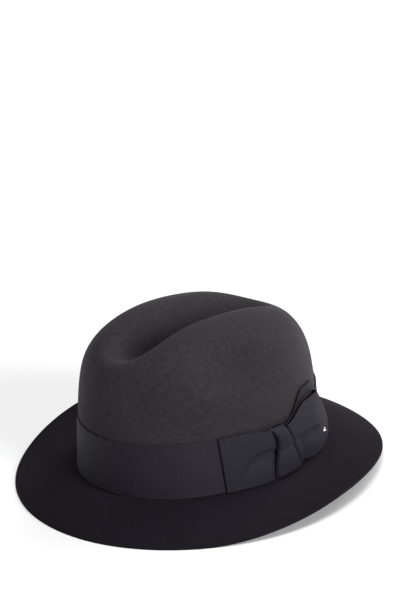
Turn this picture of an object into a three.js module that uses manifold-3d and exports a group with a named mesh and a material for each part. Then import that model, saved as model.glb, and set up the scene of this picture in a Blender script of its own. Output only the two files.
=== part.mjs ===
// A felt fedora: a centre-dented crown on a separate darker brim, with a grosgrain band and a side bow.
// Units are millimetres and +Z is up. The hat faces -Y, and the bow is on the wearer's left, at +X.
// The hat stands on its brim at z = 0, with the brim's outline centred on the origin. The shape functions
// measure heights from the foot of the band, and turn from the front towards the wearer's left.
import * as THREE from 'three';
import Module from 'manifold-3d';

// ---- driving dimensions ----
const CROWN_LENGTH = 206;        // outside of the crown at its foot, front to back
const CROWN_WIDTH = 164.4;       // outside of the crown at its foot, side to side
const CROWN_HEIGHT = 117.5;      // the blocked crown before it is dented
const SHOULDER_POWER = 6.7;      // how square the shoulder of the block is
const FELT = 2.0;                // crown felt
const BRIM_FELT = 2.4;           // brim felt
const BRIM_WIDTH = 50;           // break to cut edge, along the felt
const RIBBON_TOP = 43.6;         // upper edge of the band; its foot is at height 0
const RIBBON_FOOT = 0.2;
const BREAK = -1.5;              // middle of the brim felt where it meets the crown
const RIBBON = 0.8;
const LEATHER = 1.0;
const LEATHER_TOP = 41;
const LEATHER_FOOT = -1;
const LINING = 0.5;
const GAP = 0.3;                 // clearance between pieces that touch
const CREASE_DEPTH = 27.5;
const CREASE_HALF_WIDTH = 17;
const CREASE_FRONT = -84;
const CREASE_BACK = 69;
const PINCH = { left: 13.5, right: 9.3, y: -26, z: 92, long: 30, tall: 15.5 };
const REST_FLAT = 1.0;           // how far the felt flattens where the brim rests

// where things lie round the hat, in degrees from the front towards the wearer's left
const BOW = { flagEnd: 64, knotFront: 89.6, knotRear: 101, rearEnd: 143, tailEnd: 137 };
const SLANT = { rear: -23.5, tail: -16 };    // how far the top corners of those two ends lean forward
const STUD = { at: 125.5, height: 12, radius: 2.6, rise: 1.6, post: 0.6 };

// ---- mesh resolution ----
const AROUND = 56;
const WALL_ROWS = 9;              // rows of the crown up to the seam round the lining tip
const TOP_ROWS = 9;
const LINING_SEAM = 45;          // degrees of rise at which the lining wall meets its tip

// ---- materials ----
function material(colour, roughness, metalness = 0) {
  return new THREE.MeshStandardMaterial({ color: colour, roughness, metalness });
}

// ---- small helpers ----
const radians = THREE.MathUtils.degToRad;
const mix = THREE.MathUtils.lerp;
const smooth = (a, b, v) => THREE.MathUtils.smoothstep(v, a, b);
const steps = (from, to, count) => Array.from({ length: count + 1 }, (_, i) => mix(from, to, i / count));
const roundAngles = steps(0, 2 * Math.PI, AROUND).slice(0, AROUND);

// Closed body through a row of rings. The ends are joined to each other, run to single points, or are
// capped across, where a capped ring holds its outer points first and then its inner ones in reverse.
function body(name, rings, ends, look) {
  const points = rings.flat();
  const starts = [];
  rings.reduce((total, ring) => { starts.push(total); return total + ring.length; }, 0);
  const triangles = [];
  const count = ends === 'joined' ? rings.length : rings.length - 1;
  for (let i = 0; i < count; i += 1) {
    const next = (i + 1) % rings.length;
    bridge(points, triangles, starts[i], rings[i].length, starts[next], rings[next].length);
  }
  if (ends === 'capped') {
    cap(triangles, starts[0], rings[0].length, false);
    cap(triangles, starts[rings.length - 1], rings[rings.length - 1].length, true);
  }
  return finish(name, points, triangles, look);
}

// Each four-sided gap is split along its shorter diagonal, so that parallel faces split alike.
function bridge(points, triangles, a, sizeA, b, sizeB) {
  const size = Math.max(sizeA, sizeB);
  for (let k = 0; k < size; k += 1) {
    const j = (k + 1) % size;
    const [a0, a1] = sizeA === 1 ? [a, a] : [a + k, a + j];
    const [b0, b1] = sizeB === 1 ? [b, b] : [b + k, b + j];
    const rising = points[a0].distanceTo(points[b1]) < points[a1].distanceTo(points[b0]);
    if (a0 === a1) triangles.push([a0, b1, b0]);
    else if (b0 === b1) triangles.push([a0, a1, b0]);
    else if (rising) triangles.push([a0, a1, b1], [a0, b1, b0]);
    else triangles.push([a0, a1, b0], [a1, b1, b0]);
  }
}

function cap(triangles, start, size, far) {
  for (let k = 0; k < size / 2 - 1; k += 1) {
    const [p, q] = [start + k, start + k + 1];
    const [r, s] = [start + size - 2 - k, start + size - 1 - k];
    const pair = far ? [[p, q, r], [p, r, s]] : [[p, r, q], [p, s, r]];
    triangles.push(...pair);
  }
}

function finish(name, points, triangles, look) {
  let volume = 0;
  for (const [a, b, c] of triangles) {
    volume += points[a].dot(new THREE.Vector3().crossVectors(points[b], points[c]));
  }
  const ordered = volume > 0 ? triangles : triangles.map(([a, b, c]) => [a, c, b]);
  const geometry = new THREE.BufferGeometry();
  geometry.setAttribute('position', new THREE.Float32BufferAttribute(points.flatMap((p) => p.toArray()), 3));
  geometry.setIndex(ordered.flat());
  geometry.computeVertexNormals();
  const mesh = new THREE.Mesh(geometry, look);
  mesh.name = name;
  return mesh;
}

// ---- the crown ----
// Reach and height, both 0 to 1, where a ray at this angle meets the rounded block.
function blockSection(angle) {
  const [c, s] = [Math.cos(angle), Math.sin(angle)];
  let r = 1;
  for (let i = 0; i < 24; i += 1) {
    const error = (r * c) ** 2 + (r * s) ** SHOULDER_POWER - 1;
    const slope = 2 * r * c * c + SHOULDER_POWER * (r * s) ** (SHOULDER_POWER - 1) * s;
    r -= error / slope;
  }
  return [r * c, r * s];
}

// Outer face of the crown. phi runs round from the front, rise from 0 at the foot to PI/2 at the top.
function crownPoint(phi, rise) {
  const [reach, height] = blockSection(rise);
  const taper = 0.09 - 0.027 * Math.cos(phi) + 0.023 * Math.cos(2 * phi);
  const inward = reach * (1 - taper * height);
  let x = (CROWN_WIDTH / 2) * inward * Math.sin(phi);
  const y = -(CROWN_LENGTH / 2) * inward * Math.cos(phi);
  const slope = 1 - 0.033 * (y / 100);
  const lean = 0.039 * x * height ** 6 * (1 + y / 60);
  let z = CROWN_HEIGHT * height * slope + lean;
  z -= creaseDepth(x, y) * smooth(0.5, 0.9, height);
  const fromPinch = ((y - PINCH.y) / PINCH.long) ** 2 + ((z - PINCH.z) / PINCH.tall) ** 2;
  const pinch = (x > 0 ? PINCH.left : PINCH.right) * Math.exp(-fromPinch);
  x -= Math.sign(x) * pinch * Math.min(Math.abs(x) / 30, 1);
  return new THREE.Vector3(x, y, z);
}

function creaseDepth(x, y) {
  const front = smooth(CREASE_FRONT - 14, CREASE_FRONT + 38, y);
  const back = 1 - smooth(CREASE_BACK - 34, CREASE_BACK + 14, y);
  return CREASE_DEPTH * front * back * Math.exp(-((x / CREASE_HALF_WIDTH) ** 2));
}

// The rise at which the crown wall reaches a given height.
function riseAt(phi, z) {
  let [low, high] = [0, 0.9];
  for (let i = 0; i < 28; i += 1) {
    const middle = (low + high) / 2;
    if (crownPoint(phi, middle).z < z) low = middle;
    else high = middle;
  }
  return low;
}

// Straight out from the foot oval, level with the floor.
function outward(phi) {
  return new THREE.Vector3(Math.sin(phi) / CROWN_WIDTH, -Math.cos(phi) / CROWN_LENGTH, 0).normalize();
}

// A point beside the crown wall at a height, moved out from the felt or, when negative, inwards.
function wallPoint(phi, z, offset) {
  const point = z > 0 ? crownPoint(phi, riseAt(phi, z)) : crownPoint(phi, 0);
  point.z = z;
  return point.addScaledVector(outward(phi), offset);
}

// The crown's skin as rows of points from the foot to the top, with the direction out of the felt at each.
function crownSkin() {
  const wall = steps(0, radians(LINING_SEAM), WALL_ROWS);
  const top = steps(radians(LINING_SEAM + 0.4), Math.PI / 2, TOP_ROWS).slice(0, TOP_ROWS);
  const rows = [...wall, ...top];
  const step = 0.002;
  const skin = rows.map((rise) => roundAngles.map((phi) => {
    const along = crownPoint(phi + step, rise).sub(crownPoint(phi - step, rise));
    const up = crownPoint(phi, rise + step).sub(crownPoint(phi, Math.max(rise - step, 0)));
    return { point: crownPoint(phi, rise), out: along.cross(up).normalize() };
  }));
  skin.push([{ point: crownPoint(0, Math.PI / 2), out: new THREE.Vector3(0, 0, 1) }]);
  return skin;
}

const skin = crownSkin();
const LAST_ROW = skin.length - 1;
const layer = (row, depth) => skin[row].map(({ point, out }) => point.clone().addScaledVector(out, -depth));

// A shell that follows the crown from one row of the skin to another, between two depths in from its face.
function crownLayer(firstRow, lastRow, outerDepth, innerDepth) {
  const rows = Array.from({ length: lastRow - firstRow + 1 }, (_, i) => firstRow + i);
  const side = (depth) => rows.map((row) => layer(row, depth));
  return [...side(outerDepth).reverse(), ...side(innerDepth)];
}

function crownFelt(look) {
  const rings = crownLayer(0, LAST_ROW, 0, FELT);
  const foot = (offset) => roundAngles.map((phi) => wallPoint(phi, BREAK - BRIM_FELT / 2 - GAP, offset));
  rings.splice(skin.length, 0, foot(0), foot(-FELT));
  return body('crown_felt', rings, 'points', look);
}

// ---- the brim ----
// Height of the cut edge: lowest in front and behind, where the hat rests, and raised at the sides.
function brimEdgeHeight(phi) {
  const waves = [-8.9, -2.6, -5.4, 3.35, 0.85, -0.4];
  return waves.reduce((sum, size, k) => sum + size * Math.cos(k * phi), 0);
}

function brimPoint(phi, t, side) {
  const width = BRIM_WIDTH + 2.1 * Math.cos(phi) - 3.7 * Math.cos(2 * phi);
  const edge = brimEdgeHeight(phi);
  const reach = Math.sqrt(width ** 2 - edge ** 2) * t;
  const dish = -2.5 * Math.sin(Math.PI * t) * Math.sin(phi) ** 2;
  const z = mix(BREAK, edge, t ** 1.5) + dish + side * BRIM_FELT / 2;
  const foot = crownPoint(phi, 0).setZ(z);
  return foot.addScaledVector(outward(phi), GAP + reach);
}

function brimFelt(look) {
  const top = [0, 0.14, 0.3, 0.48, 0.66, 0.84, 0.985];
  const under = [...top.slice(0, -1), 0.94];
  const section = [...top.map((t) => [t, 1]), [1, 0.7], [1, -0.7], ...under.map((t) => [t, -1]).reverse()];
  const rings = section.map(([t, side]) => roundAngles.map((phi) => brimPoint(phi, t, side)));
  const lowest = Math.min(...rings.flat().map((p) => p.z));
  const floor = lowest + REST_FLAT;
  rings.flat().forEach((p) => { p.z = Math.max(p.z, floor); });
  const depths = rings.flat().map((p) => p.y);
  const middle = (Math.min(...depths) + Math.max(...depths)) / 2;
  return { mesh: body('brim_felt', rings, 'joined', look), floor, middle };
}

// ---- rings that follow the wall ----
// section holds [height, offset] corners in order round the ring's cut.
function wallRing(name, section, look, angles = roundAngles) {
  const rings = section.map(([z, offset]) => angles.map((phi) => wallPoint(phi, z, offset)));
  return body(name, rings, 'joined', look);
}

function roundSection(z, offset, radius) {
  return steps(0, 2 * Math.PI, 6).slice(0, 6)
    .map((a) => [z + radius * Math.sin(a), offset + radius * Math.cos(a)]);
}

// ---- patches that lie on the wall ----
// low and high give the patch's edges, near and far its two offsets, each as a function of 0 to 1 along it.
// lean turns the far end's top corner by that many degrees.
function patch(name, from, to, { low, high, near, far, lean = 0, columns = 8, rows = 4 }, look) {
  const rings = steps(0, 1, columns).map((t) => {
    const side = (offset) => steps(0, 1, rows).map((v) => (
      wallPoint(radians(mix(from, to + lean * v, t)), mix(low(t), high(t), v), offset)));
    return [...side(far(t)), ...side(near(t)).reverse()];
  });
  return body(name, rings, 'capped', look);
}

// ---- turned bodies ----
// profile holds [radius, height] from one end on the axis to the other.
function turned(name, profile, base, axis, look, sides = 16) {
  const spin = new THREE.Quaternion().setFromUnitVectors(new THREE.Vector3(0, 0, 1), axis);
  const rings = profile.map(([radius, height]) => {
    const angles = radius > 0 ? steps(0, 2 * Math.PI, sides).slice(0, sides) : [0];
    return angles.map((a) => new THREE.Vector3(radius * Math.cos(a), radius * Math.sin(a), height)
      .applyQuaternion(spin).add(base));
  });
  return body(name, rings, 'points', look);
}

// ---- cutting one body from another ----
const wasm = await Module();
wasm.setup();

function solid(mesh) {
  const source = mesh.geometry;
  return new wasm.Manifold(new wasm.Mesh({
    numProp: 3,
    vertProperties: new Float32Array(source.attributes.position.array),
    triVerts: new Uint32Array(source.index.array),
  }));
}

function cut(mesh, tool) {
  const result = solid(mesh).subtract(solid(tool)).getMesh();
  const points = [];
  for (let i = 0; i < result.vertProperties.length; i += 3) {
    points.push(new THREE.Vector3().fromArray(result.vertProperties, i));
  }
  const triangles = [];
  for (let i = 0; i < result.triVerts.length; i += 3) triangles.push([...result.triVerts.slice(i, i + 3)]);
  return finish(mesh.name, points, triangles, mesh.material);
}

// ---- the band and its bow ----
const BAND_FACE = GAP + RIBBON;          // outer face of the band, out from the felt
const TAIL_FACE = BAND_FACE + GAP + 0.8;

// The band's upper edge dips a little over the wearer's right brow.
function ribbonTop(phi) {
  return RIBBON_TOP - 2.4 * Math.max(0, Math.cos(phi + 0.35)) ** 2;
}

function bandRibbon(look) {
  const section = [[0, GAP], [0.5, GAP], [1, GAP], [1, BAND_FACE], [0.5, BAND_FACE], [0, BAND_FACE]];
  const rings = section.map(([t, offset]) => roundAngles.map((phi) => (
    wallPoint(phi, mix(RIBBON_FOOT, ribbonTop(phi), t), offset))));
  return body('band_ribbon', rings, 'joined', look);
}

function bowFrontLoop(look) {
  return patch('bow_loop_front', BOW.flagEnd, BOW.knotFront - 0.2, {
    low: () => RIBBON_FOOT,
    high: (t) => mix(43.4, 39, smooth(0.3, 1, t)),
    near: () => BAND_FACE + GAP,
    far: (t) => BAND_FACE + mix(2.4, 3.4, t),
  }, look);
}

function bowRearLoop(look) {
  return patch('bow_loop_rear', BOW.knotRear + 0.2, BOW.rearEnd, {
    low: () => RIBBON_FOOT,
    high: (t) => mix(40, 49.5, smooth(-0.1, 0.6, t)),
    near: () => TAIL_FACE + GAP,
    far: (t) => TAIL_FACE + mix(3.2, 4.2, t),
    lean: SLANT.rear,
    columns: 10,
  }, look);
}

function bowTail(look) {
  return patch('bow_tail', BOW.knotRear + 0.2, BOW.tailEnd, {
    low: (t) => mix(14, 24, t),
    high: (t) => mix(39.5, 57, smooth(-0.05, 0.55, t)),
    near: () => BAND_FACE + GAP,
    far: () => TAIL_FACE,
    lean: SLANT.tail,
  }, look);
}

function bowKnot(look) {
  return patch('bow_knot', BOW.knotFront, BOW.knotRear, {
    low: () => RIBBON_FOOT,
    high: () => 40,
    near: () => BAND_FACE + GAP,
    far: () => BAND_FACE + 4.6,
    columns: 3,
  }, look);
}

// ---- the stud pinned through the rear loop ----
function studParts(looks) {
  const phi = radians(STUD.at);
  const axis = outward(phi);
  const from = (offset) => wallPoint(phi, STUD.height, offset);
  const face = TAIL_FACE + 4.3 + GAP;
  const back = BAND_FACE + GAP;
  const dome = [[0, 0], [STUD.radius, 0], [STUD.radius, 0.5], [STUD.radius * 0.8, 1.1],
    [STUD.radius * 0.45, 1.5], [0, STUD.rise]];
  const disc = [[0, 0], [1.6, 0], [1.6, 0.7], [0, 0.7]];
  const postLength = face - GAP - (back + 0.7 + GAP);
  const rod = (radius, length) => [[0, 0], [radius, 0], [radius, length], [0, length]];
  return {
    cap: turned('stud_cap', dome, from(face), axis, looks.stud),
    post: turned('stud_post', rod(STUD.post, postLength), from(back + 0.7 + GAP), axis, looks.steel, 10),
    clutch: turned('stud_clutch', disc, from(back), axis, looks.steel, 14),
    drill: turned('drill', rod(STUD.post + GAP, 12), from(back), axis, looks.steel, 10),
  };
}

// ---- inside the hat ----
const LINING_DEPTH = FELT + 2 * GAP;                     // felt face to the back of the lining
const LEATHER_DEPTH = LINING_DEPTH + LINING + GAP;
const LEATHER_FACE = LEATHER_DEPTH + LEATHER;

function sweatband(look) {
  const [back, face] = [-LEATHER_DEPTH, -LEATHER_FACE];
  return wallRing('sweatband_leather', [[LEATHER_FOOT, back], [21, back], [LEATHER_TOP, back],
    [LEATHER_TOP, face], [21, face], [LEATHER_FOOT, face]], look);
}

function backPatch(name, from, to, low, high, depth, thickness, look) {
  return patch(name, from, to, {
    low: () => low,
    high: () => high,
    near: () => -(depth + thickness),
    far: () => -depth,
    columns: 3,
    rows: 2,
  }, look);
}

function sweatbandTrim(looks) {
  const tape = LEATHER_FACE + GAP;
  const trim = tape + 0.6 + GAP;
  return [
    backPatch('sweatband_seam_tape', 175.5, 184.5, 0, 40, tape, 0.6, looks.leather),
    backPatch('sweatband_bow_loop_left', 172.5, 179.2, 4, 13, trim, 1.2, looks.ribbon),
    backPatch('sweatband_bow_loop_right', 180.8, 187.5, 4, 13, trim, 1.2, looks.ribbon),
    backPatch('sweatband_bow_knot', 179.4, 180.6, 4, 13, trim, 1.8, looks.ribbon),
    backPatch('size_tab', 150, 158, 6, 18, tape, 0.4, looks.paper),
  ];
}

function liningSide(look) {
  const rings = crownLayer(2, WALL_ROWS, LINING_DEPTH, LINING_DEPTH + LINING);
  return body('lining_side', rings, 'joined', look);
}

// A domed sheet that follows the crown's top from a row of the skin to its middle.
function crownTop(name, firstRow, depth, thickness, look) {
  return body(name, crownLayer(firstRow, LAST_ROW, depth, depth + thickness), 'points', look);
}

// ---- assembly ----
export default build();

function build() {
  const reedHeight = LEATHER_FOOT - GAP - 0.8;
  const stitchHeight = BREAK - BRIM_FELT / 2 - 2 * GAP - 0.4;
  const looks = {
    crown: material(0x3c3a3d, 0.95),
    brim: material(0x201f24, 0.95),
    ribbon: material(0x2c2a33, 0.7),
    bow: material(0x2f2d37, 0.7),
    stud: material(0xc9c9cc, 0.25, 1),
    steel: material(0x8f9194, 0.4, 1),
    leather: material(0x2a2220, 0.55),
    reed: material(0x1c1a1a, 0.6),
    lining: material(0x24242c, 0.45),
    clear: material(0xb9bcc0, 0.15),
    paper: material(0xd8d4c8, 0.8),
    thread: material(0x26252b, 0.8),
  };
  const brim = brimFelt(looks.brim);
  const stud = studParts(looks);
  const hat = new THREE.Group();
  hat.name = 'fedora_hat';
  hat.add(
    crownFelt(looks.crown),
    brim.mesh,
    bandRibbon(looks.ribbon),
    bowFrontLoop(looks.bow),
    cut(bowRearLoop(looks.bow), stud.drill),
    bowTail(looks.bow),
    bowKnot(looks.bow),
    stud.cap,
    stud.post,
    stud.clutch,
    sweatband(looks.leather),
    wallRing('sweatband_reed', roundSection(reedHeight, -(LEATHER_DEPTH + 0.3), 0.8), looks.reed),
    ...sweatbandTrim(looks),
    liningSide(looks.lining),
    crownTop('lining_tip', WALL_ROWS + 1, LINING_DEPTH, LINING, looks.lining),
    crownTop('tip_shield', WALL_ROWS + 4, LINING_DEPTH + LINING + GAP, 0.4, looks.clear),
    wallRing('crown_brim_stitching', roundSection(stitchHeight, -0.1, 0.4), looks.thread),
  );
  hat.children.forEach((mesh) => mesh.geometry.translate(0, -brim.middle, -brim.floor));
  return hat;
}
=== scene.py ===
"""A felt fedora with a grosgrain band and a side bow, standing on its brim on a pale floor.

The shape functions work in millimetres from the middle of the band's foot, with +X on the wearer's left,
-Y in front and +Z up. place() turns their points into metres in the frame that the CAD model uses.
"""
import math

import bmesh
import bpy
import numpy as np
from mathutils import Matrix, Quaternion, Vector


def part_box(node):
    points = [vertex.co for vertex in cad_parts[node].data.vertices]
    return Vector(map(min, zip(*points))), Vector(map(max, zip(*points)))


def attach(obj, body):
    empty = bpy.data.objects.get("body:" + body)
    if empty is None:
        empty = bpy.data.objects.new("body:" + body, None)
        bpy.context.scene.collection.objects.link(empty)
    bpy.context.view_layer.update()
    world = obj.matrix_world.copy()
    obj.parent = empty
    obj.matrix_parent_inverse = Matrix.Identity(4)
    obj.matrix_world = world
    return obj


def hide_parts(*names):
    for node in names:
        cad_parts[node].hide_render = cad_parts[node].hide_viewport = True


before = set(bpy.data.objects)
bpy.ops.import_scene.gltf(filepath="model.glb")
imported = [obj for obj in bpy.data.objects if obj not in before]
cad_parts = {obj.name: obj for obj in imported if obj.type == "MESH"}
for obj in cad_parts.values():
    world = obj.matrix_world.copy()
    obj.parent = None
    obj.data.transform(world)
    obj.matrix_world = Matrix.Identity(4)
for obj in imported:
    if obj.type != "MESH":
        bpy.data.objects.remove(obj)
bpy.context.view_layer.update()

MM = 0.001

# ---- the hat's sizes, in millimetres ----
CROWN_LENGTH = 206.0
CROWN_WIDTH = 164.4
CROWN_HEIGHT = 117.5
SHOULDER_POWER = 6.7
CREASE = {"depth": 27.5, "half_width": 17.0, "front": -84.0, "back": 69.0}
PINCH = {"left": 13.5, "right": 9.3, "y": -26.0, "z": 92.0, "long": 30.0, "tall": 15.5}
FELT = 2.0
BRIM_FELT = 2.4
BRIM_WIDTH = 50.0
BRIM_WAVES = (-8.9, -2.6, -5.4, 3.35, 0.85, -0.4)
BREAK = -1.5
GAP = 0.3
CLOTH = 0.5
BAND_FOOT = 0.2
BAND_TOP = 43.6
BAND_FACE = 1.1
TAIL_FACE = 2.2
LINING_DEPTH = FELT + 2 * GAP
LEATHER_DEPTH = 3.4
LEATHER = 1.0

# The middle of the band's foot in the CAD frame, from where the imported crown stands.
crown_low, crown_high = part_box("crown_felt")
ORIGIN = np.array([
    0.0,
    (crown_low[1] + crown_high[1]) / 2,
    crown_low[2] - (BREAK - BRIM_FELT / 2 - GAP) * MM,
])


def place(points):
    """Points in millimetres from the band's foot, as metres in the CAD frame."""
    return np.asarray(points, float) * MM + ORIGIN


def smooth(low, high, value):
    t = np.clip((value - low) / (high - low), 0, 1)
    return t * t * (3 - 2 * t)


def mix(a, b, t):
    return a + (b - a) * t


def bump(value, centre, width):
    return np.exp(-((value - centre) / width) ** 2)


# ---- the hat's surfaces ----
def block_section(rise):
    """Reach and height, 0 to 1, where a ray at this angle meets the rounded block."""
    c, s = np.cos(rise), np.sin(rise)
    r = np.ones_like(c)
    for _ in range(24):
        error = (r * c) ** 2 + (r * s) ** SHOULDER_POWER - 1
        slope = 2 * r * c * c + SHOULDER_POWER * (r * s) ** (SHOULDER_POWER - 1) * s
        r = r - error / slope
    return r * c, r * s


def crown_point(phi, rise):
    """The crown's outer face. phi runs round from the front, and rise from 0 at the foot to pi/2 on top."""
    phi, rise = np.broadcast_arrays(np.asarray(phi, float), np.asarray(rise, float))
    reach, height = block_section(rise)
    taper = 0.09 - 0.027 * np.cos(phi) + 0.023 * np.cos(2 * phi)
    inward = reach * (1 - taper * height)
    x = CROWN_WIDTH / 2 * inward * np.sin(phi)
    y = -CROWN_LENGTH / 2 * inward * np.cos(phi)
    lean = 0.039 * x * height ** 6 * (1 + y / 60)
    z = CROWN_HEIGHT * height * (1 - 0.033 * y / 100) + lean
    front = smooth(CREASE["front"] - 14, CREASE["front"] + 38, y)
    back = 1 - smooth(CREASE["back"] - 34, CREASE["back"] + 14, y)
    dent = CREASE["depth"] * front * back * bump(x, 0, CREASE["half_width"])
    z = z - dent * smooth(0.5, 0.9, height)
    pinch = np.where(x > 0, PINCH["left"], PINCH["right"])
    pinch = pinch * bump(y, PINCH["y"], PINCH["long"]) * bump(z, PINCH["z"], PINCH["tall"])
    x = x - np.sign(x) * pinch * np.minimum(np.abs(x) / 30, 1)
    return np.stack([x, y, z], -1)


def outward(phi):
    """Straight out from the foot oval, level with the floor."""
    phi = np.asarray(phi, float)
    out = np.stack([np.sin(phi) / CROWN_WIDTH, -np.cos(phi) / CROWN_LENGTH, 0 * phi], -1)
    return out / np.linalg.norm(out, axis=-1, keepdims=True)


def wall(phi, z, offset):
    """Points beside the crown wall at a height, moved out from the felt, or inwards when negative."""
    phi, z, offset = np.broadcast_arrays(*(np.asarray(a, float) for a in (phi, z, offset)))
    low, high = np.zeros_like(phi), np.full_like(phi, 0.9)
    for _ in range(26):
        middle = (low + high) / 2
        under = crown_point(phi, middle)[..., 2] < z
        low, high = np.where(under, middle, low), np.where(under, high, middle)
    points = crown_point(phi, low)
    points[..., 2] = z
    return points + outward(phi) * offset[..., None]


def brim_point(phi, t, side):
    """The brim, from its break at t = 0 to its cut edge at t = 1. side is 1 on top and -1 underneath."""
    phi, t, side = np.broadcast_arrays(*(np.asarray(a, float) for a in (phi, t, side)))
    width = BRIM_WIDTH + 2.1 * np.cos(phi) - 3.7 * np.cos(2 * phi)
    edge = sum(size * np.cos(k * phi) for k, size in enumerate(BRIM_WAVES))
    reach = np.sqrt(width ** 2 - edge ** 2) * t
    dish = -2.5 * np.sin(np.pi * np.clip(t, 0, 1)) * np.sin(phi) ** 2
    points = crown_point(phi, 0 * phi)
    points[..., 2] = mix(BREAK, edge, t ** 1.5) + dish + side * BRIM_FELT / 2
    return points + outward(phi) * (GAP + reach)[..., None]


def arc_lengths(points):
    """Running length along a row of points."""
    steps = np.linalg.norm(np.diff(points, axis=0), axis=1)
    return np.concatenate([[0], np.cumsum(steps)])


# ---- meshes ----
def make_object(name, points, faces, uvs=None):
    """A smooth-shaded object from points in millimetres. uvs holds one pair for each corner of each face."""
    mesh = bpy.data.meshes.new(name)
    mesh.from_pydata([tuple(p) for p in place(points)], [], faces)
    if uvs is not None:
        layer = mesh.uv_layers.new(name="cloth")
        layer.data.foreach_set("uv", np.asarray(uvs, float).ravel())
    mesh.polygons.foreach_set("use_smooth", [True] * len(mesh.polygons))
    mesh.update()
    obj = bpy.data.objects.new(name, mesh)
    bpy.context.scene.collection.objects.link(obj)
    face_outwards(mesh)
    return obj


def face_outwards(mesh):
    work = bmesh.new()
    work.from_mesh(mesh)
    if work.calc_volume(signed=True) < 0:
        bmesh.ops.reverse_faces(work, faces=work.faces)
    work.to_mesh(mesh)
    work.free()


def grid_faces(rows, columns, closed):
    """Quads over a grid of points, with each corner's row and column for the weave coordinates."""
    faces, corners = [], []
    for i in range(rows - 1):
        for j in range(columns if closed else columns - 1):
            k = j + 1
            quad = [(i, j), (i, k), (i + 1, k), (i + 1, j)]
            faces.append([a * columns + b % columns for a, b in quad])
            corners.append(quad)
    return faces, corners


def cloth_piece(name, grid, thickness, closed=False):
    """A solid ribbon or sheet round a grid of middle points, rows across it and columns along it.

    closed joins the last column to the first. thickness is one number, or one for each row.
    """
    rows, columns = grid.shape[:2]
    along = np.roll(grid, -1, 1) - np.roll(grid, 1, 1)
    if not closed:
        along[:, 0] = grid[:, 1] - grid[:, 0]
        along[:, -1] = grid[:, -1] - grid[:, -2]
    across = np.gradient(grid, axis=0)
    normal = np.cross(along, across)
    normal /= np.maximum(np.linalg.norm(normal, axis=-1, keepdims=True), 1e-9)
    half = np.broadcast_to(np.asarray(thickness, float) / 2, (rows,))[:, None, None] * normal
    points = np.concatenate([(grid + half).reshape(-1, 3), (grid - half).reshape(-1, 3)])
    top, corners = grid_faces(rows, columns, closed)
    count = rows * columns
    bottom = [[count + v for v in reversed(face)] for face in top]
    loop = np.concatenate([grid, grid[:, :1]], 1) if closed else grid
    u = np.median([arc_lengths(row) for row in loop], axis=0)
    v = np.median([arc_lengths(loop[:, j]) for j in range(loop.shape[1])], axis=0)
    uvs = [(u[j], v[i]) for quad in corners for i, j in quad]
    uvs += [(u[j], v[i]) for quad in corners for i, j in reversed(quad)]
    rim, rim_uvs = rim_faces(rows, columns, closed, u, v)
    return make_object(name, points, top + bottom + rim, uvs + rim_uvs)


def rim_faces(rows, columns, closed, u, v):
    """The narrow faces round a cloth piece's edges."""
    count = rows * columns
    runs = []
    last = columns if closed else columns - 1
    runs.append([(0, j) for j in range(last + 1)])
    runs.append([(rows - 1, j) for j in range(last, -1, -1)])
    if not closed:
        runs.append([(i, columns - 1) for i in range(rows)])
        runs.append([(i, 0) for i in range(rows - 1, -1, -1)])
    faces, uvs = [], []
    for run in runs:
        for (i, j), (m, n) in zip(run, run[1:]):
            a, b = i * columns + j % columns, m * columns + n % columns
            faces.append([b, a, count + a, count + b])
            uvs += [(u[n], v[m]), (u[j], v[i]), (u[j], v[i]), (u[n], v[m])]
    return faces, uvs


def shell_piece(name, rings, ends):
    """A closed body through rings of points. Its ends are joined to each other or run to single points."""
    columns = len(rings[1])
    points = np.concatenate([np.asarray(ring, float).reshape(-1, 3) for ring in rings])
    starts = np.cumsum([0] + [len(np.asarray(ring).reshape(-1, 3)) for ring in rings])
    faces = []
    pairs = list(zip(range(len(rings) - 1), range(1, len(rings))))
    if ends == "joined":
        pairs.append((len(rings) - 1, 0))
    for a, b in pairs:
        one_a = starts[a + 1] - starts[a] == 1
        one_b = starts[b + 1] - starts[b] == 1
        for j in range(columns):
            k = (j + 1) % columns
            left = [starts[a]] if one_a else [starts[a] + j, starts[a] + k]
            right = [starts[b]] if one_b else [starts[b] + k, starts[b] + j]
            faces.append([int(v) for v in left + right])
    return make_object(name, points, faces)


# ---- materials ----
def srgb(red, green, blue):
    """A colour given as 0 to 255 display values, as the linear values that a shader takes."""
    values = (v / 255 for v in (red, green, blue))
    return tuple(v / 12.92 if v <= 0.04045 else ((v + 0.055) / 1.055) ** 2.4 for v in values) + (1.0,)


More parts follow.
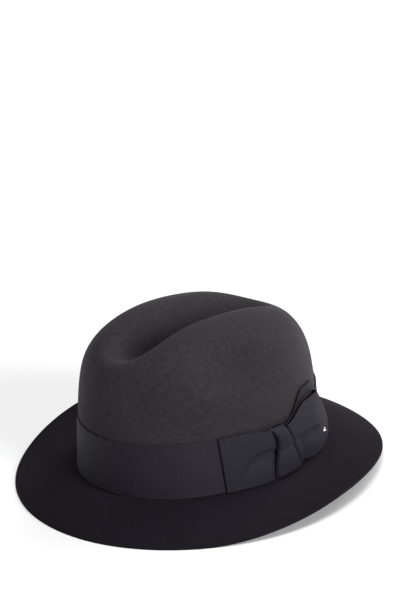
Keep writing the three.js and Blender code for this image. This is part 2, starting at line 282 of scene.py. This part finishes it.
class Look:
    """A material's node tree, with short calls to add and link nodes."""

    def __init__(self, name):
        self.material = bpy.data.materials.new(name)
        self.material.use_nodes = True
        self.tree = self.material.node_tree
        self.shader = self.tree.nodes["Principled BSDF"]

    def set(self, **values):
        for name, value in values.items():
            self.shader.inputs[name.replace("_", " ")].default_value = value
        return self

    def node(self, kind, **links):
        node = self.tree.nodes.new(kind)
        for name, value in links.items():
            self.link(value, node.inputs[name.replace("_", " ")])
        return node

    def link(self, value, socket):
        if isinstance(value, bpy.types.NodeSocket):
            self.tree.links.new(value, socket)
        else:
            socket.default_value = value

    def object_coordinates(self):
        return self.node("ShaderNodeTexCoord").outputs["Object"]

    def weave_coordinates(self):
        node = self.node("ShaderNodeUVMap")
        node.uv_map = "cloth"
        return self.node("ShaderNodeSeparateXYZ", Vector=node.outputs[0])

    def noise(self, scale, detail=3.0, roughness=0.5, vector=None):
        vector = vector or self.object_coordinates()
        node = self.node("ShaderNodeTexNoise", Vector=vector, Scale=scale, Detail=detail, Roughness=roughness)
        return node.outputs["Fac"]

    def math(self, operation, *values):
        node = self.node("ShaderNodeMath")
        node.operation = operation
        for value, socket in zip(values, node.inputs):
            self.link(value, socket)
        return node.outputs[0]

    def ramp(self, value, *stops):
        node = self.node("ShaderNodeValToRGB", Fac=value)
        elements = node.color_ramp.elements
        while len(elements) < len(stops):
            elements.new(0.5)
        for element, (position, colour) in zip(elements, stops):
            element.position = position
            element.color = colour
        return node.outputs["Color"]

    def blend(self, factor, a, b, how="MIX"):
        node = self.node("ShaderNodeMix")
        node.data_type = "RGBA"
        node.blend_type = how
        for value, index in ((factor, 0), (a, 6), (b, 7)):
            self.link(value, node.inputs[index])
        return node.outputs[2]

    def bump(self, height, distance, strength=1.0, under=None):
        node = self.node("ShaderNodeBump", Height=height, Distance=distance, Strength=strength)
        if under is not None:
            self.link(under, node.inputs["Normal"])
        return node.outputs["Normal"]

    def finish(self, colour, roughness=None, normal=None):
        self.link(colour, self.shader.inputs["Base Color"])
        if roughness is not None:
            self.link(roughness, self.shader.inputs["Roughness"])
        if normal is not None:
            self.link(normal, self.shader.inputs["Normal"])
        return self.material


def grey(value):
    return (value, value, value, 1.0)


def felt_look(name, dark, light, sheen):
    """Dense fur felt: soft blotches of shade, mottled fur, a short random nap and a matt surface."""
    look = Look(name)
    cloud = look.noise(18.0, 2.0)
    mottle = look.noise(260.0, 3.0, 0.6)
    grain = look.noise(900.0, 3.0, 0.7)
    nap = look.noise(3200.0, 2.0, 0.7)
    shade = look.math("ADD", look.math("MULTIPLY", cloud, 0.35), look.math("MULTIPLY", mottle, 0.65))
    base = look.ramp(shade, (0.38, dark), (0.62, light))
    fur = look.ramp(grain, (0.34, grey(0.7)), (0.66, grey(1.34)))
    fibre = look.ramp(nap, (0.3, grey(0.86)), (0.75, grey(1.16)))
    colour = look.blend(1.0, look.blend(1.0, base, fur, "MULTIPLY"), fibre, "MULTIPLY")
    rough = look.ramp(mottle, (0.3, grey(0.86)), (0.7, grey(0.98)))
    surface = look.bump(mottle, 0.0005, 0.4)
    surface = look.bump(grain, 0.00035, 0.6, surface)
    surface = look.bump(nap, 0.00015, 0.5, surface)
    look.set(Sheen_Weight=sheen, Sheen_Roughness=0.45, Specular_IOR_Level=0.16)
    look.shader.inputs["Sheen Tint"].default_value = srgb(205, 200, 210)
    return look.finish(colour, rough, surface)


def grosgrain_look(name, dark, light, rib=0.95):
    """Corded ribbon: raised ribs across it, with painted shade in the grooves between them, fine warp threads
    along it and a plain woven edge.
    """
    look = Look(name)
    weave = look.weave_coordinates()
    along, across = weave.outputs["X"], weave.outputs["Y"]
    ribs = look.math("SINE", look.math("MULTIPLY", along, 2 * math.pi / rib))
    ribs = look.math("MULTIPLY_ADD", ribs, 0.5, 0.5)
    warp = look.math("SINE", look.math("MULTIPLY", across, 2 * math.pi / 0.34))
    warp = look.math("MULTIPLY_ADD", warp, 0.5, 0.5)
    cloud = look.noise(22.0, 2.0)
    fibre = look.noise(2600.0, 2.0, 0.6)
    # Painted shade: the colour darkens in the grooves between the ribs, mixed half and half with a random
    # cloudy tone.
    shade = look.math("ADD", look.math("MULTIPLY", ribs, 0.5), look.math("MULTIPLY", cloud, 0.5))
    base = look.ramp(shade, (0.2, dark), (0.8, light))
    colour = look.blend(0.35, base, look.ramp(fibre, (0.3, grey(0.6)), (0.8, grey(1.3))), "MULTIPLY")
    rough = look.ramp(ribs, (0.0, grey(0.74)), (1.0, grey(0.58)))
    surface = look.bump(ribs, 0.00012, 0.7)
    surface = look.bump(warp, 0.00006, 0.5, surface)
    look.set(Sheen_Weight=0.05, Sheen_Roughness=0.4, Specular_IOR_Level=0.2)
    look.shader.inputs["Sheen Tint"].default_value = srgb(190, 188, 214)
    return look.finish(colour, rough, surface)


def leather_look(name, dark, light):
    look = Look(name)
    cell = look.node("ShaderNodeTexVoronoi", Vector=look.object_coordinates(), Scale=900.0)
    cell.feature = "DISTANCE_TO_EDGE"
    grain = cell.outputs["Distance"]
    cloud = look.noise(35.0, 4.0)
    colour = look.ramp(cloud, (0.3, dark), (0.7, light))
    rough = look.ramp(look.noise(300.0), (0.3, grey(0.42)), (0.7, grey(0.6)))
    surface = look.bump(grain, 0.00012, 0.6)
    look.set(Specular_IOR_Level=0.45, Coat_Weight=0.08, Coat_Roughness=0.4)
    return look.finish(colour, rough, surface)


def satin_look(name, dark, light):
    look = Look(name)
    cloud = look.noise(40.0, 3.0)
    thread = look.noise(1800.0, 2.0)
    base = look.ramp(cloud, (0.3, dark), (0.7, light))
    colour = look.blend(0.3, base, look.ramp(thread, (0.3, grey(0.7)), (0.8, grey(1.25))), "MULTIPLY")
    rough = look.ramp(cloud, (0.3, grey(0.34)), (0.7, grey(0.46)))
    surface = look.bump(thread, 0.00008, 0.5)
    look.set(Sheen_Weight=0.2, Specular_IOR_Level=0.5)
    return look.finish(colour, rough, surface)


def metal_look(name, colour, roughness):
    look = Look(name)
    scuff = look.noise(2200.0, 4.0, 0.7)
    tone = look.ramp(scuff, (0.3, colour), (0.8, tuple(min(c * 1.15, 1) for c in colour[:3]) + (1,)))
    rough = look.ramp(scuff, (0.35, grey(roughness)), (0.75, grey(roughness * 1.8)))
    look.set(Metallic=1.0)
    return look.finish(tone, rough, look.bump(scuff, 0.00002, 0.3))


def clear_look(name):
    look = Look(name)
    haze = look.noise(60.0, 3.0)
    rough = look.ramp(haze, (0.3, grey(0.08)), (0.7, grey(0.2)))
    look.set(Alpha=0.22, IOR=1.45, Specular_IOR_Level=0.6)
    return look.finish(look.ramp(haze, (0.3, grey(0.75)), (0.7, grey(0.9))), rough)


def paper_look(name):
    look = Look(name)
    pulp = look.noise(500.0, 5.0)
    colour = look.ramp(pulp, (0.3, srgb(206, 200, 186)), (0.7, srgb(224, 219, 206)))
    return look.finish(colour, look.ramp(pulp, (0.3, grey(0.75)), (0.7, grey(0.9))), look.bump(pulp, 0.00005))


LOOKS = {
    "crown_felt": felt_look("crown_felt_look", srgb(33, 31, 34), srgb(43, 40, 43), 0.12),
    "brim_felt": felt_look("brim_felt_look", srgb(9, 6, 14), srgb(16, 11, 22), 0.035),
    "band_grosgrain": grosgrain_look("band_grosgrain_look", srgb(24, 20, 30), srgb(31, 27, 38)),
    "bow_grosgrain": grosgrain_look("bow_grosgrain_look", srgb(21, 18, 27), srgb(28, 25, 35)),
    "sweatband_leather": leather_look("sweatband_leather_look", srgb(38, 29, 26), srgb(52, 40, 35)),
    "satin": satin_look("lining_satin_look", srgb(28, 28, 36), srgb(44, 44, 54)),
    "stud_metal": metal_look("stud_metal_look", (0.78, 0.78, 0.79, 1), 0.16),
    "pin_steel": metal_look("pin_steel_look", (0.5, 0.51, 0.52, 1), 0.3),
    "clear_sheet": clear_look("tip_shield_look"),
    "label": paper_look("size_tab_look"),
    "thread": grosgrain_look("thread_look", srgb(30, 29, 36), srgb(46, 45, 54), 0.4),
    "reed": leather_look("reed_look", srgb(24, 22, 22), srgb(34, 31, 30)),
}


def dress(obj, slot, stands_for=()):
    """Gives a piece its look, its place on the hat's one body and the CAD nodes that it stands for."""
    obj.data.materials.clear()
    obj.data.materials.append(LOOKS[slot])
    if stands_for:
        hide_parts(*stands_for)
    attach(obj, "root")
    return obj


# ---- felt: crown and brim ----
AROUND = 320
ROUND = np.linspace(0, 2 * np.pi, AROUND, endpoint=False)


def felt_ripple(points, amount):
    """Very slight unevenness of hand-blocked felt, in millimetres."""
    x, y, z = np.moveaxis(points, -1, 0)
    broad = np.sin(x / 17 + 1.3) * np.sin(y / 21 + 0.4)
    fine = np.sin((x + z) / 11 + 2.1) * np.sin((y - z) / 13)
    return amount * (broad + 0.6 * fine)


def crown_skin(rows, around=ROUND):
    """A grid over the crown's face, foot to top, with the direction out of the felt at each point."""
    rises = np.linspace(0, math.pi / 2, rows + 1)[:-1]
    phi, rise = np.meshgrid(around, rises)
    step = 1e-3
    along = crown_point(phi + step, rise) - crown_point(phi - step, rise)
    up = crown_point(phi, rise + step) - crown_point(phi, np.maximum(rise - step, 0))
    out = np.cross(along, up)
    out /= np.linalg.norm(out, axis=-1, keepdims=True)
    return crown_point(phi, rise), out


CROWN_ROWS = 110
SKIN, SKIN_OUT = crown_skin(CROWN_ROWS)
SKIN_TOP = crown_point(0.0, math.pi / 2)


def skin_layer(depth, first, last):
    return [SKIN[i] - SKIN_OUT[i] * depth for i in range(first, last)]


def make_crown():
    free = smooth(BAND_TOP + 2, BAND_TOP + 22, SKIN[..., 2])
    ripple = felt_ripple(SKIN, 0.35) * free
    outer = [SKIN[i] + SKIN_OUT[i] * ripple[i][:, None] for i in range(CROWN_ROWS)]
    inner = skin_layer(FELT, 0, CROWN_ROWS)
    foot = BREAK - BRIM_FELT / 2 - GAP
    rings = [[SKIN_TOP], *outer[::-1], wall(ROUND, foot, 0), wall(ROUND, foot, -FELT), *inner,
             [SKIN_TOP - np.array([0, 0, FELT])]]
    return shell_piece("crown", rings, "points")


def make_brim():
    """The brim with a raw cut edge: a softly rounded arris above and below."""
    t = np.concatenate([np.linspace(0, 0.9, 22), np.linspace(0.92, 0.985, 6)])
    top = [(v, 1.0) for v in t]
    edge = [(0.996, 0.86), (1.0, 0.5), (1.001, 0.0), (1.0, -0.5), (0.996, -0.86)]
    section = top + edge + [(v, -1.0) for v in t[::-1]]
    rings = [brim_point(ROUND, v, side) for v, side in section]
    for ring in rings:
        ring[:, 2] += felt_ripple(ring, 0.12)
    floor = -ORIGIN[2] / MM
    for ring in rings:
        ring[:, 2] = np.maximum(ring[:, 2], floor)
    return shell_piece("brim", rings, "joined")


dress(make_crown(), "crown_felt", ["crown_felt"])
dress(make_brim(), "brim_felt", ["brim_felt"])


# ---- the band ----
def band_top(phi):
    """Height of the band's upper edge, a little lower in front and where the bow pulls on it."""
    return BAND_TOP - 2.4 * np.maximum(0, np.cos(phi + 0.35)) ** 2 - 1.4 * bump(phi, 1.62, 0.3)


def selvedge(rows, thickness, extra=0.25):
    """Thickness across a ribbon, a little more at its two woven edges."""
    t = np.linspace(0, 1, rows)
    return thickness * (1 + extra * (bump(t, 0.012, 0.012) + bump(t, 0.988, 0.012)))


def make_band():
    rows = 40
    t = np.linspace(0, 1, rows)[:, None]
    phi = ROUND[None, :]
    height = mix(BAND_FOOT, band_top(phi), t)
    offset = GAP + CLOTH / 2 + 0.25 * bump(t, 1.0, 0.06) + 0.12 * np.sin(3 * phi + 1) * t
    grid = wall(phi + 0 * t, height, offset)
    return cloth_piece("band", grid, selvedge(rows, CLOTH), closed=True)


band = dress(make_band(), "band_grosgrain", ["band_ribbon"])


# ---- the bow ----
MM_PER_DEGREE = 1.63       # along the band, at its sides


def selvedge_loop(end, knot, foot, top, face, back, rows=56, columns=70, fold=8):
    """Middle surface of a flattened ribbon loop: its back layer, the fold at its end and its front layer.

    end and knot give the two ends in degrees round the hat for each share of the width, 0 at the foot.
    foot and top give heights for each share of the length, 0 at the folded end. face gives the front
    layer's distance from the felt for a place in degrees and a height.
    """
    v = np.linspace(0, 1, rows)[:, None]
    run = np.linspace(1, 0, columns)
    t = np.concatenate([run, np.zeros(fold - 1), run[::-1]])[None, :]
    side = np.concatenate([np.zeros(columns), np.linspace(0, 1, fold + 1)[1:-1], np.ones(columns)])[None, :]
    degrees = mix(end(v), knot(v), t)
    height = mix(foot(t), top(t), v)
    front = face(degrees, height)
    away = -1 if np.mean(knot(v)) > np.mean(end(v)) else 1
    swing = away * np.sin(np.pi * side) * 0.5 * (front - back) / MM_PER_DEGREE
    offset = mix(back, front, 0.5 - 0.5 * np.cos(np.pi * side))
    return wall(np.radians(degrees + swing), height, offset)


def fold_line(height, line, above, below):
    """1 on a crease across the ribbon, falling off at one rate above it and another below."""
    gap = height - line
    return np.exp(-(gap / np.where(gap > 0, above, below)) ** 2)


def knot_left(height):
    return np.interp(height, [0, 6, 14, 21, 27, 33, 40], [87.6, 87.6, 88.2, 89.4, 89.5, 88.5, 86.6])


def knot_right(height):
    return np.interp(height, [0, 5.5, 12, 19, 25, 32, 41], [103.6, 102.5, 100.7, 99.2, 98.5, 96.5, 93.6])


def front_face(degrees, height):
    near_knot = smooth(66, 88, degrees)
    valley = np.interp(degrees, [68, 71, 73, 76, 80, 84, 88.5], [5, 9.5, 16, 21, 23.5, 24, 22])
    depth = 3.3 * smooth(67, 86, degrees)
    body = 2.25 + 2.7 * near_knot + 0.5 * bump(height, 34, 8) * near_knot
    second_fold = 0.3 * bump(degrees - mix(64.6, 67.2, 1 - height / 43), 0, 0.45)
    gather = 2.2 * smooth(knot_left(height) - 2.2, knot_left(height) + 0.6, degrees)
    face = body + second_fold - depth * fold_line(height, valley, 1.6, 8.0) - gather
    return np.maximum(face, FRONT_BACK + 0.6)


def rear_face(degrees, height):
    body = 5.3 + 1.3 * smooth(102, 120, degrees) - 0.7 * (1 - smooth(0, 16, height))
    upper_valley = np.interp(degrees, [101, 106, 112, 119], [25, 22.5, 22.5, 21.0])
    reach = smooth(100, 104, degrees) * (1 - smooth(114, 121, degrees))
    folds = 2.7 * reach * fold_line(height, upper_valley, 1.4, 5.0)
    upright = 2.2 * bump(degrees, 106.4, 1.5) * (1 - smooth(19, 25, height))
    pleat = 0.7 * bump(degrees, 103.6, 1.2) * (1 - smooth(18, 24, height))
    swell = 0.9 * bump(degrees, 117, 8) * bump(height, 11, 8)
    gather = 2.8 * (1 - smooth(knot_right(height) - 0.2, knot_right(height) + 1.3, degrees))
    return np.maximum(body - folds - upright + pleat + swell - gather, REAR_BACK + 0.7)


FRONT_BACK = BAND_FACE + GAP + CLOTH / 2
REAR_BACK = TAIL_FACE + GAP + CLOTH / 2


def make_front_loop():
    grid = selvedge_loop(
        end=lambda v: mix(65.0, 62.0, v),
        knot=lambda v: mix(88.9, 88.0, v),
        foot=lambda t: BAND_FOOT + 0.2 + 0 * t,
        top=lambda t: mix(43.8, 41.0, smooth(0.3, 1, t)),
        face=front_face,
        back=FRONT_BACK,
    )
    return cloth_piece("bow_front_loop", grid, selvedge(len(grid), CLOTH))


def make_rear_loop():
    grid = selvedge_loop(
        end=lambda v: mix(143.0, 119.5, v),
        knot=lambda v: mix(101.5, 95.0, v),
        foot=lambda t: BAND_FOOT + 0.4 + 2.2 * bump(t, 0.86, 0.12),
        top=lambda t: mix(39.2, 49.5, smooth(1.0, 0.45, t)),
        face=rear_face,
        back=REAR_BACK,
    )
    return cloth_piece("bow_rear_loop", grid, selvedge(len(grid), CLOTH))


def make_tail():
    """The cut end that stands up behind the rear loop, trimmed on the slant."""
    rows, columns = 40, 50
    v = np.linspace(0, 1, rows)[:, None]
    t = np.linspace(0, 1, columns)[None, :]
    degrees = mix(98.0, mix(137.0, 121.0, v), t)
    height = mix(mix(12.0, 24.0, t), mix(39.5, 57.0, smooth(-0.05, 0.58, t)), v)
    grid = wall(np.radians(degrees), height, BAND_FACE + GAP + CLOTH / 2 + 0.3 * t * v)
    return cloth_piece("bow_tail_end", grid, selvedge(rows, CLOTH, 0.1))


def make_knot():
    """The strip that pinches the bow, waisted in the middle and tucked under at both sides."""
    rows, columns = 70, 44
    height = np.linspace(0.5, 40.6, rows)[:, None]
    w = np.linspace(0, 1, columns)[None, :]
    degrees = mix(knot_left(height), knot_right(height), w)
    rounded = 1 - np.abs(2 * w - 1) ** 9
    swell = 6.4 + 0.5 * bump(height, 33, 5) + 0.5 * bump(height, 12, 8)
    crease = 1.3 * fold_line(height, 22.6 + 1.5 * w, 1.0, 4.0) * smooth(0.0, 0.25, w)
    ends = 3.0 * smooth(37.5, 40.6, height) + 2.0 * smooth(2.5, 0.5, height)
    offset = mix(REAR_BACK + 0.2, swell - crease - ends, rounded)
    return cloth_piece("bow_knot_strip", wall(np.radians(degrees), height, offset), CLOTH)


front_loop = dress(make_front_loop(), "bow_grosgrain", ["bow_loop_front"])
rear_loop = dress(make_rear_loop(), "bow_grosgrain", ["bow_loop_rear"])
tail = dress(make_tail(), "bow_grosgrain", ["bow_tail"])
knot = dress(make_knot(), "bow_grosgrain", ["bow_knot"])


# ---- the stud ----
STUD = {"degrees": 125.5, "height": 12.0, "foot": 6.8}


def make_stud():
    """A plain polished dome with a rolled rim, in place of any badge."""
    phi = math.radians(STUD["degrees"])
    out = outward(phi)
    middle = wall(phi, STUD["height"], STUD["foot"])
    side = np.cross([0, 0, 1], out)
    up = np.cross(out, side)
    profile = [(1.2, 0.0), (2.35, 0.0), (2.6, 0.16), (2.66, 0.36), (2.55, 0.56), (2.3, 0.62), (2.12, 0.6),
               (2.0, 0.74), (1.7, 1.05), (1.25, 1.34), (0.7, 1.52), (0.3, 1.58)]
    turns = np.linspace(0, 2 * np.pi, 48, endpoint=False)[:, None]
    circle = np.cos(turns) * side + np.sin(turns) * up
    rings = [middle + out * rise + radius * circle for radius, rise in profile]
    return shell_piece("stud", [[middle], *rings, [middle + out * 1.6]], "points")


dress(make_stud(), "stud_metal", ["stud_cap"])
for node in ("stud_post", "stud_clutch"):
    part = bpy.data.objects[node]
    part.data.materials.clear()
    part.data.materials.append(LOOKS["pin_steel"])


# ---- inside the hat ----
def tube(name, path, radius, sides=8):
    """A round thread or cord along a closed path of points."""
    path = np.asarray(path, float)
    along = np.roll(path, -1, 0) - np.roll(path, 1, 0)
    along /= np.linalg.norm(along, axis=1, keepdims=True)
    side = np.cross(along, [0, 0, 1.0])
    side /= np.linalg.norm(side, axis=1, keepdims=True)
    up = np.cross(side, along)
    turns = np.linspace(0, 2 * np.pi, sides, endpoint=False)
    rings = [p + radius * (np.cos(turns)[:, None] * a + np.sin(turns)[:, None] * b)
             for p, a, b in zip(path, side, up)]
    return shell_piece(name, rings, "joined")


def overcast_stitches(name, height, depth, count, rise, radius):
    """Thread that goes over and over the seam between two pieces, right round the hat."""
    phi = np.linspace(0, 2 * np.pi, count * 6, endpoint=False)
    swing = phi * count
    return tube(name, wall(phi, height + rise * np.sin(swing), depth + 0.5 * rise * np.cos(swing)), radius, 6)


def make_sweatband():
    """Leather turned up inside the crown, a little wavy and rolled over at its free edge."""
    rows = 44
    t = np.linspace(0, 1, rows)[:, None]
    phi = ROUND[None, :]
    slack = 0.22 * np.sin(9 * phi + 0.7) * t ** 2 + 0.3 * bump(t, 1.0, 0.05)
    groove = 0.16 * bump(t, 0.93, 0.012)
    middle = -(LEATHER_DEPTH + LEATHER / 2 + 0.35) - slack + groove
    grid = wall(phi + 0 * t, mix(-1.0, 41.0, t), middle)
    return cloth_piece("sweatband", grid, LEATHER * (1 - 0.3 * t[:, 0]), closed=True)


def back_patch(name, start, end, low, high, depth, thickness, puff=0.0, rows=16, columns=24):
    """A small flat piece on the sweatband's inner face. puff swells its middle."""
    v = np.linspace(0, 1, rows)[:, None]
    t = np.linspace(0, 1, columns)[None, :]
    swell = puff * np.sin(np.pi * t) * np.sin(np.pi * v) ** 0.5
    degrees = mix(start, end, t) + 0 * v
    grid = wall(np.radians(degrees), mix(low, high, v), -(depth + thickness / 2) - swell)
    return cloth_piece(name, grid, thickness)


def make_back_bow(name, knot, end, low, high, depth):
    """One loop of the small flat bow that marks the back of the sweatband, pinched at its knot."""
    rows, columns = 18, 26
    v = np.linspace(0, 1, rows)[:, None]
    t = np.linspace(0, 1, columns)[None, :]
    pinch = 0.32 * (1 - smooth(0, 0.5, t))
    height = mix(low, high, mix(pinch, 1 - pinch, v))
    swell = 0.5 * np.sin(np.pi * t) * np.sin(np.pi * v)
    grid = wall(np.radians(mix(knot, end, t) + 0 * v), height, -(depth + 0.5) - swell)
    return cloth_piece(name, grid, 0.9)


def make_lining_side():
    """Satin wall of the lining, in fine soft gathers towards its top seam."""
    rows = []
    for row, out in zip(SKIN[12:55], SKIN_OUT[12:55]):
        share = len(rows) / 42
        gathers = 0.22 * share * np.sin(88 * ROUND)
        rows.append(row - out * (LINING_DEPTH + CLOTH / 2 + 0.25 * share + gathers)[:, None])
    return cloth_piece("lining_wall", np.array(rows), 0.35, closed=True)


def make_crown_sheet(name, first, depth, thickness):
    """A domed sheet under the crown's top, following its dent."""
    top = SKIN_TOP - np.array([0, 0, depth])
    under = SKIN_TOP - np.array([0, 0, depth + thickness])
    outer = skin_layer(depth, first, CROWN_ROWS)
    inner = skin_layer(depth + thickness, first, CROWN_ROWS)
    return shell_piece(name, [[top], *outer[::-1], *inner, [under]], "points")


SWEAT_FACE = LEATHER_DEPTH + LEATHER
TRIM_DEPTH = SWEAT_FACE + 1.2

sweatband = dress(make_sweatband(), "sweatband_leather", ["sweatband_leather"])
reed_path = wall(ROUND, -2.1, -(LEATHER_DEPTH + 0.3))
dress(tube("sweatband_reed_welt", reed_path, 0.8, 12), "reed", ["sweatband_reed"])
seam_tape = back_patch("seam_tape", 175.5, 184.5, 0.0, 40.0, SWEAT_FACE + 0.45, 0.5)
dress(seam_tape, "sweatband_leather", ["sweatband_seam_tape"])
left_loop = make_back_bow("back_bow_left", 179.4, 172.5, 4.0, 13.0, TRIM_DEPTH)
right_loop = make_back_bow("back_bow_right", 180.6, 187.5, 4.0, 13.0, TRIM_DEPTH)
back_knot = back_patch("back_bow_knot", 179.2, 180.8, 5.6, 11.4, TRIM_DEPTH + 0.1, 1.4, 0.6)
dress(left_loop, "band_grosgrain", ["sweatband_bow_loop_left"])
dress(right_loop, "band_grosgrain", ["sweatband_bow_loop_right"])
dress(back_knot, "band_grosgrain", ["sweatband_bow_knot"])
size_tab = back_patch("size_label", 150.0, 158.0, 6.0, 18.0, SWEAT_FACE + 0.4, 0.3)
dress(size_tab, "label", ["size_tab"])
lining_wall = dress(make_lining_side(), "satin", ["lining_side"])
lining_top = dress(make_crown_sheet("lining_top", 56, LINING_DEPTH, 0.4), "satin", ["lining_tip"])
dress(make_crown_sheet("lining_shield", 72, LINING_DEPTH + 0.75, 0.3), "clear_sheet", ["tip_shield"])
brim_thread = overcast_stitches("brim_stitches", -3.55, -0.25, 210, 0.42, 0.24)
dress(brim_thread, "thread", ["crown_brim_stitching"])
reed_thread = overcast_stitches("sweatband_stitches", -0.2, -(SWEAT_FACE + 0.35), 230, 0.5, 0.18)
dress(reed_thread, "thread")


# ---- camera, floor and light ----
GLOW = 0.14
VIEW = {"azimuth": 47.94, "elevation": 25.94, "distance": 1.3386, "lens": 103.3,
        "tilt": 4.74, "pan": 0.17, "roll": 2.39}


def direction(azimuth, elevation):
    a, e = math.radians(azimuth), math.radians(elevation)
    return Vector((math.sin(a) * math.cos(e), -math.cos(a) * math.cos(e), math.sin(e)))


def make_camera():
    data = bpy.data.cameras.new("camera")
    data.lens = VIEW["lens"]
    data.sensor_width = 36.0
    data.clip_start = 0.05
    data.clip_end = 20.0
    camera = bpy.data.objects.new("camera", data)
    bpy.context.scene.collection.objects.link(camera)
    back = direction(VIEW["azimuth"], VIEW["elevation"])
    camera.location = Vector(ORIGIN) + back * VIEW["distance"]
    aim = (-back).to_track_quat("-Z", "Y")
    tilt = Quaternion((1, 0, 0), math.radians(VIEW["tilt"]))
    pan = Quaternion((0, 1, 0), -math.radians(VIEW["pan"]))
    roll = Quaternion((0, 0, 1), -math.radians(VIEW["roll"]))
    camera.rotation_mode = "QUATERNION"
    camera.rotation_quaternion = aim @ tilt @ pan @ roll
    bpy.context.scene.camera = camera


def make_floor():
    mesh = bpy.data.meshes.new("floor")
    corners = [(-8, -8, 0), (8, -8, 0), (8, 8, 0), (-8, 8, 0)]
    mesh.from_pydata(corners, [], [(0, 1, 2, 3)])
    floor = bpy.data.objects.new("floor", mesh)
    bpy.context.scene.collection.objects.link(floor)
    look = Look("floor_look").set(Roughness=0.9, Specular_IOR_Level=0.1)
    floor.data.materials.append(look.finish(grey(0.92)))


def make_sun(name, azimuth, elevation, strength, softness):
    """A very wide, even light, as a large diffuser gives, from a direction in degrees."""
    data = bpy.data.lights.new(name, "SUN")
    data.energy = strength
    data.angle = math.radians(softness)
    light = bpy.data.objects.new(name, data)
    bpy.context.scene.collection.objects.link(light)
    light.rotation_mode = "QUATERNION"
    light.rotation_quaternion = (-direction(azimuth, elevation)).to_track_quat("-Z", "Y")


def make_world():
    """A faint even glow on the hat, and a white backdrop behind it."""
    world = bpy.data.worlds.new("studio")
    world.use_nodes = True
    tree = world.node_tree
    path = tree.nodes.new("ShaderNodeLightPath")
    strength = tree.nodes.new("ShaderNodeMapRange")
    strength.inputs["To Min"].default_value = GLOW
    strength.inputs["To Max"].default_value = 1.0
    tree.links.new(path.outputs["Is Camera Ray"], strength.inputs["Value"])
    tree.nodes["Background"].inputs["Color"].default_value = grey(1.0)
    tree.links.new(strength.outputs["Result"], tree.nodes["Background"].inputs["Strength"])
    bpy.context.scene.world = world


make_camera()
make_floor()
make_world()
make_sun("overhead", 0, 88, 1.75, 34)
make_sun("side", 95, 18, 3.5, 34)
make_sun("rear", 182, 40, 1.25, 34)
bpy.context.scene.view_settings.view_transform = "Standard"
